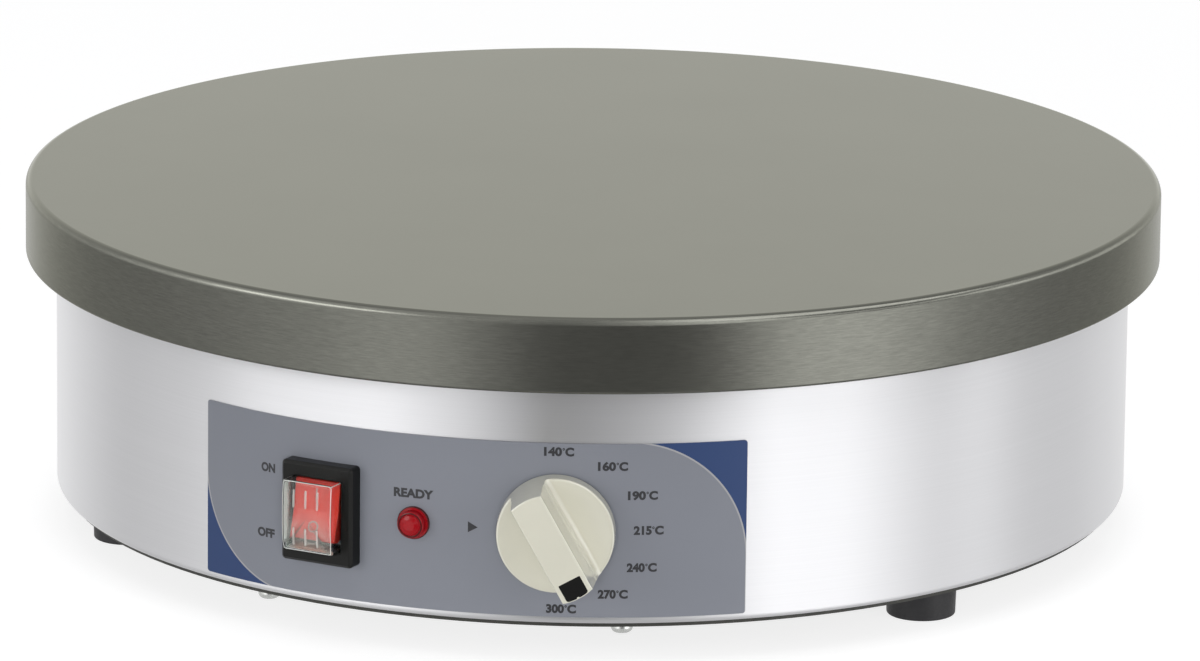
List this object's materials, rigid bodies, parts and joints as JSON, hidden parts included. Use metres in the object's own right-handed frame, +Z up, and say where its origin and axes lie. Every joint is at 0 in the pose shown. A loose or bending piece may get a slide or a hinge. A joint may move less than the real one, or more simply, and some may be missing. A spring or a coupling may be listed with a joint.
{
  "type": "electric crepe maker",
  "caption": "Round cast-iron griddle plate on a brushed steel drum with a rocker switch, a ready lamp and a temperature knob on a curved front label, standing on rubber feet.",
  "frame": {"origin": "on the griddle plate's axis, in the plane of the feet's undersides", "axes": "+Z up along the plate axis, -Y towards the control label at the front, +X to the right seen from the front"},
  "size_m": [0.4, 0.419, 0.1233],
  "materials": {
    "base_steel": "dark coated sheet steel",
    "black_plastic": "moulded, satin",
    "brass": "plain brass",
    "brushed_stainless": "satin, brushed along the drum",
    "clear_plastic": "clear, slightly milky, glossy",
    "copper": "bare copper tube",
    "cream_plastic": "cream steatite-like moulding",
    "element_sheath": "heat-tinted steel tube",
    "foot_rubber": "matt moulded rubber",
    "gland_plastic": "moulded nylon",
    "griddle_iron": "machined cast iron, seasoned dark, semi-matt",
    "insulation_fibre": "ceramic fibre blanket",
    "ivory_plastic": "ivory thermoset, satin gloss",
    "label_film": "printed film, satin",
    "lamp_red": "translucent deep red, glossy",
    "red_plastic": "translucent red, glossy",
    "thermostat_plastic": "brown thermoset",
    "zinc_screws": "bright zinc-plated steel",
    "zinc_sheet": "zinc-plated sheet"
  },
  "bodies": {
    "machine": {"base_plate": "base_steel", "base_screws": "zinc_screws", "bulb_clip": "zinc_sheet", "bulb_clip_screws": "zinc_screws", "cable_gland": "gland_plastic", "capillary_tube": "copper", "captive_nuts": "zinc_screws", "clamp_nuts": "zinc_screws", "clamp_studs": "zinc_screws", "control_label": "label_film", "earth_nut": "zinc_screws", "earth_stud": "zinc_screws", "element_clamps": "zinc_sheet", "foot_nuts": "zinc_screws", "foot_screws": "zinc_screws", "gland_dome_nut": "gland_plastic", "gland_locknut": "gland_plastic", "gland_seal": "foot_rubber", "griddle_plate": "griddle_iron", "heat_shield": "zinc_sheet", "heating_element_inner": "element_sheath", "heating_element_outer": "element_sheath", "housing_shell": "brushed_stainless", "insulation_blanket": "insulation_fibre", "lamp_body": "black_plastic", "lamp_lens": "lamp_red", "lamp_nut": "black_plastic", "plate_nuts": "zinc_screws", "plate_spacers": "zinc_screws", "plate_studs": "zinc_screws", "rubber_foot_1": "foot_rubber", "rubber_foot_2": "foot_rubber", "rubber_foot_3": "foot_rubber", "sensor_bulb": "copper", "shield_nuts": "zinc_screws", "shield_spacers": "zinc_screws", "shield_studs": "zinc_screws", "switch_bezel": "black_plastic", "switch_body": "black_plastic", "switch_splash_cap": "clear_plastic", "switch_terminals": "brass", "terminal_block": "cream_plastic", "terminal_block_screws": "zinc_screws", "terminal_screws": "brass", "thermostat_body": "thermostat_plastic", "thermostat_bracket": "zinc_sheet", "thermostat_screws": "zinc_screws", "thermostat_terminals": "brass"},
    "knob": {"control_knob": "ivory_plastic", "knob_pointer_inlay": "black_plastic", "thermostat_spindle": "brass"},
    "rocker": {"switch_rocker": "red_plastic"}
  },
  "joints": [
    {"name": "knob_turn", "type": "hinge", "parent": "machine", "child": "knob", "pos_m": [0.04406, -0.18436, 0.0466], "axis": [0.2324, -0.9726, 0], "range_deg": [-29, 241]},
    {"name": "switch_rock", "type": "hinge", "parent": "machine", "child": "rocker", "pos_m": [-0.03755, -0.18426, 0.0466], "axis": [0.9799, -0.1997, 0], "range_deg": [0, 24]}
  ]
}
